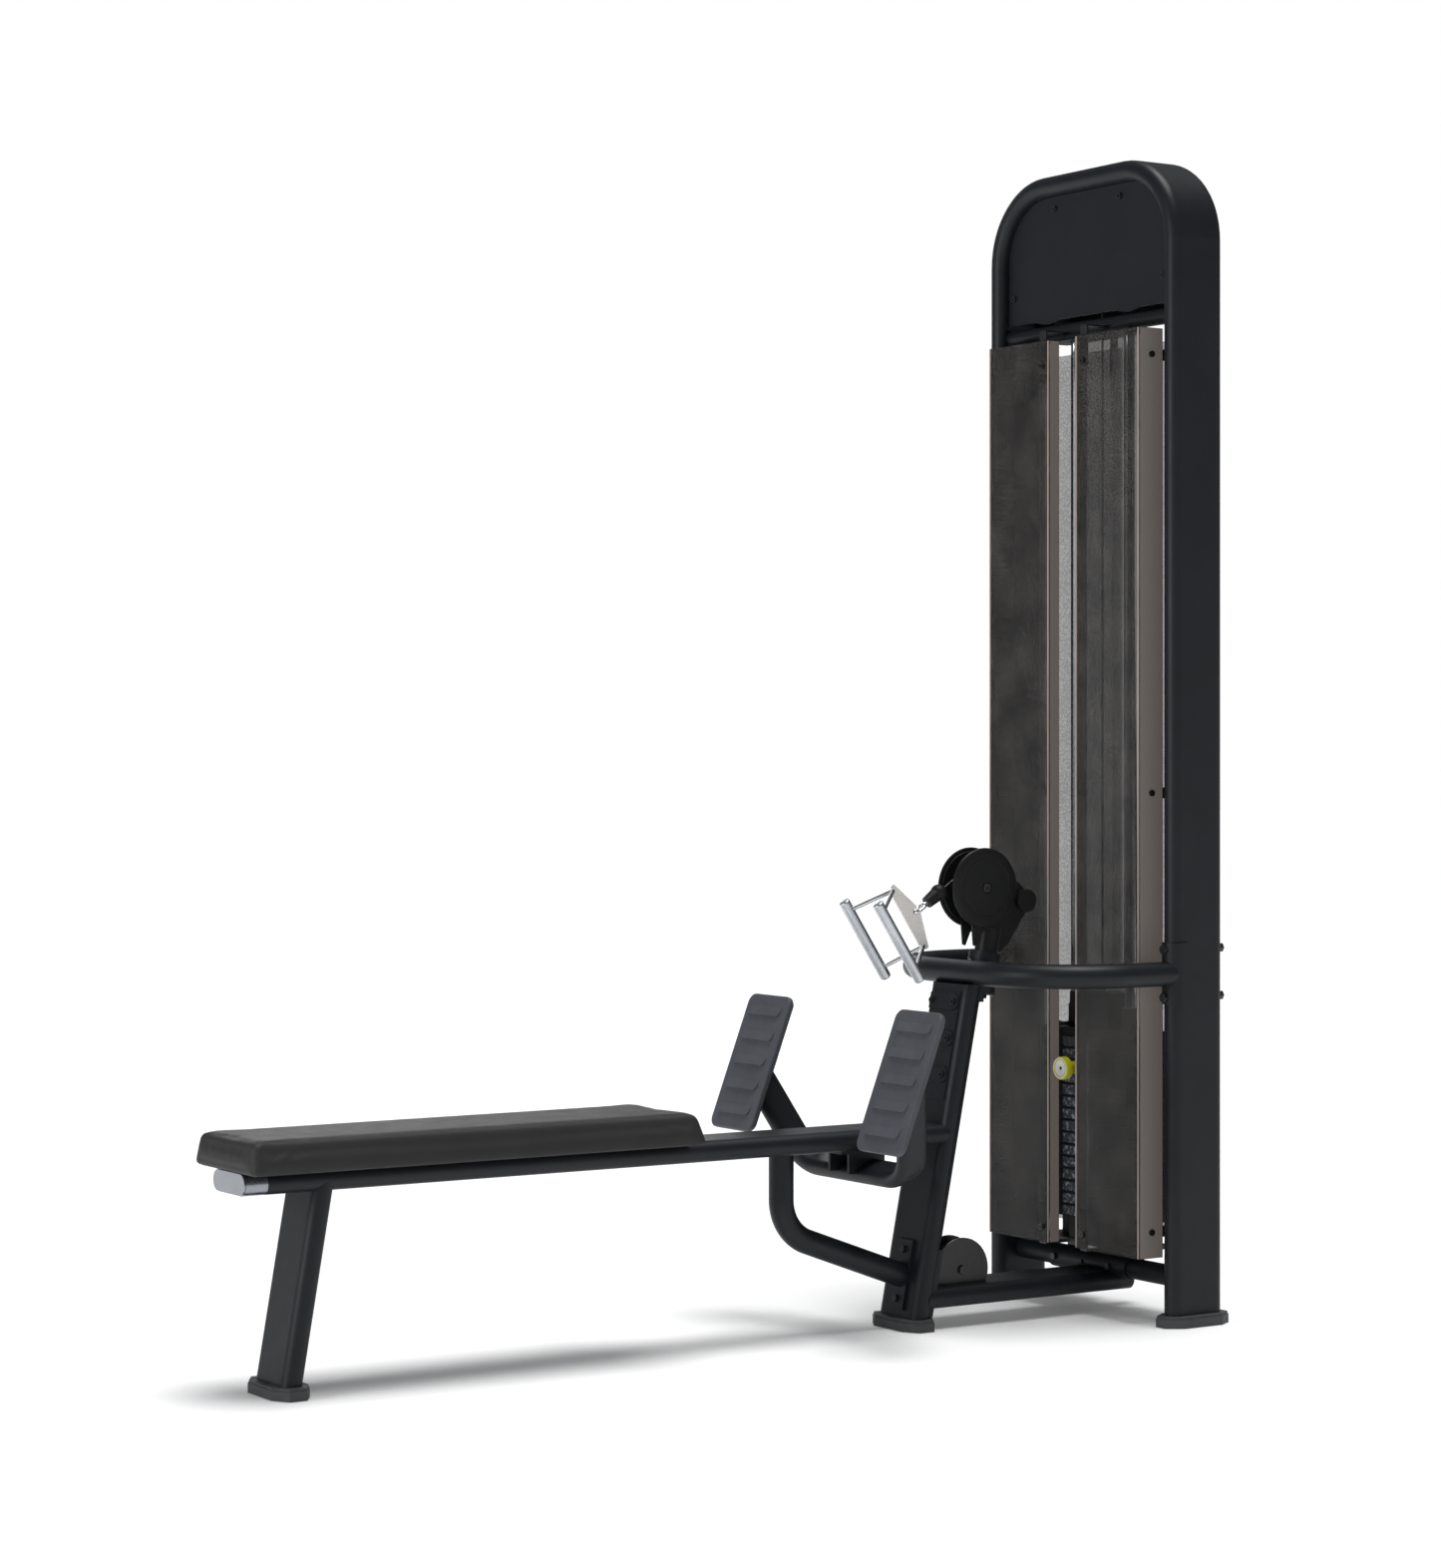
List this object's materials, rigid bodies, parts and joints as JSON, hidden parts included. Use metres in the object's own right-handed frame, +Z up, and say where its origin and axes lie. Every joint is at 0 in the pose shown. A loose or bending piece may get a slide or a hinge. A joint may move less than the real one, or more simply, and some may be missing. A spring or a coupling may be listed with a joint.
{
  "type": "seated cable row",
  "caption": "Seated cable row: a flat bench with foot plates, a hooped weight tower with tinted shields, and a swivelling front pulley feeding a close-grip handle.",
  "frame": {"origin": "on the floor under the middle of the whole machine", "axes": "+Z up, +Y from the bench end to the weight tower, X across the machine; the sitter faces +Y"},
  "size_m": [0.654, 2.053, 2.3],
  "materials": {
    "powder_coat": "satin, fine texture",
    "black_steel": "satin",
    "floor_rubber": "matte",
    "tread_rubber": "matte",
    "smoked_panel": "grained",
    "frosted_panel": "frosted",
    "polished_steel": "polished",
    "plate_steel": "satin",
    "black_plastic": "fine texture",
    "bush_plastic": "smooth",
    "yellow_plastic": "gloss",
    "cable_jacket": "smooth",
    "end_metal": "satin",
    "board": "painted",
    "vinyl": "fine grain",
    "grip_steel": "knurled"
  },
  "bodies": {
    "frame": {"tower_hoop": "powder_coat", "rubber_feet": "floor_rubber", "top_covers": "powder_coat", "cross_tubes": "powder_coat", "left_shield": "smoked_panel", "right_shield": "smoked_panel", "rear_shields": "frosted_panel", "shield_brackets": "black_steel", "panel_screws": "black_steel", "guide_rods": "polished_steel", "stack_base": "black_steel", "stack_bumpers": "floor_rubber", "resting_plates": "plate_steel", "pulley_brackets": "black_steel", "pulley_axles": "black_steel", "drive_cable": "cable_jacket", "base_tube": "powder_coat", "base_saddle": "powder_coat", "frame_bolts": "black_steel", "front_leg": "powder_coat", "leg_cover": "powder_coat", "bench_tube": "powder_coat", "end_cap": "end_metal", "seat_leg": "powder_coat", "pad_board": "board", "seat_pad": "vinyl", "support_tube": "powder_coat", "footrest_tube": "powder_coat", "footrest_bracket": "powder_coat", "foot_plates": "black_steel", "foot_treads": "tread_rubber", "grab_rail": "powder_coat", "rail_clamps": "powder_coat", "swivel_housing": "powder_coat"},
    "stack": {"head_plate": "plate_steel", "guide_bushes": "bush_plastic", "lifted_plates": "plate_steel", "selector_rod": "polished_steel", "cable_clevis": "polished_steel", "lift_cable": "cable_jacket", "lanyard": "cable_jacket"},
    "pin": {"selector_pin": "polished_steel", "pin_knob": "yellow_plastic"},
    "top_wheel": {"top_pulley": "black_plastic"},
    "bottom_wheel": {"bottom_pulley": "black_plastic"},
    "lower_wheel": {"lower_pulley": "black_plastic"},
    "swivel": {"swivel_yoke": "black_steel", "guard_discs": "black_plastic", "swivel_axle": "black_steel", "guide_knob": "black_plastic", "pulley_cable": "cable_jacket"},
    "swivel_wheel": {"swivel_pulley": "black_plastic"},
    "cable_arm": {"arm_cable": "cable_jacket"},
    "carriage": {"pull_cable": "cable_jacket", "cable_stop": "black_plastic", "carabiner": "polished_steel"},
    "handle": {"handle_plate": "polished_steel", "handle_rods": "polished_steel", "handle_grips": "grip_steel"}
  },
  "joints": [
    {"name": "stack_lift", "type": "slide", "parent": "frame", "child": "stack", "axis": [0, 0, 1], "range_m": [0, 0.9], "deforming": ["lift_cable"]},
    {"name": "pin_pull", "type": "slide", "parent": "stack", "child": "pin", "axis": [0, -1, 0], "range_m": [0, 0.06]},
    {"name": "swivel_turn", "type": "hinge", "parent": "frame", "child": "swivel", "pos_m": [0, 0.6355, 0.735], "axis": [0, 0.1961, 0.9806], "range_deg": [-10, 10]},
    {"name": "swivel_wheel_spin", "type": "hinge", "parent": "swivel", "child": "swivel_wheel", "pos_m": [0, 0.61259, 0.855], "axis": [1, 0, 0], "range_deg": [-10, 1130]},
    {"name": "cable_pitch", "type": "hinge", "parent": "swivel", "child": "cable_arm", "pos_m": [0, 0.61259, 0.855], "axis": [-1, 0, 0], "range_deg": [-1, 28.5]},
    {"name": "cable_pull", "type": "slide", "parent": "cable_arm", "child": "carriage", "axis": [0, -0.8329, -0.5534], "range_m": [-0.002, 0.902]},
    {"name": "handle_swing", "type": "hinge", "parent": "carriage", "child": "handle", "pos_m": [0, 0.45886, 0.80809], "axis": [1, 0, 0], "range_deg": [-40, 40]},
    {"name": "top_wheel_spin", "type": "hinge", "parent": "frame", "child": "top_wheel", "pos_m": [0, 0.9645, 2.13], "axis": [1, 0, 0], "range_deg": [-1440, 10]},
    {"name": "bottom_wheel_spin", "type": "hinge", "parent": "frame", "child": "bottom_wheel", "pos_m": [0, 0.9925, 0.093], "axis": [1, 0, 0], "range_deg": [-1530, 10]},
    {"name": "lower_wheel_spin", "type": "hinge", "parent": "frame", "child": "lower_wheel", "pos_m": [0, 0.55641, 0.105], "axis": [1, 0, 0], "range_deg": [-1130, 10]}
  ],
  "couplings": [
    {"joint": "swivel_wheel_spin", "follows": "stack_lift", "rad_per_m": 21.739},
    {"joint": "cable_pitch", "follows": "stack_lift", "rad_per_m": 0.54299},
    {"joint": "cable_pull", "follows": "stack_lift", "ratio": 1},
    {"joint": "top_wheel_spin", "follows": "stack_lift", "rad_per_m": -27.778},
    {"joint": "bottom_wheel_spin", "follows": "stack_lift", "rad_per_m": -29.412},
    {"joint": "lower_wheel_spin", "follows": "stack_lift", "rad_per_m": -21.739}
  ]
}
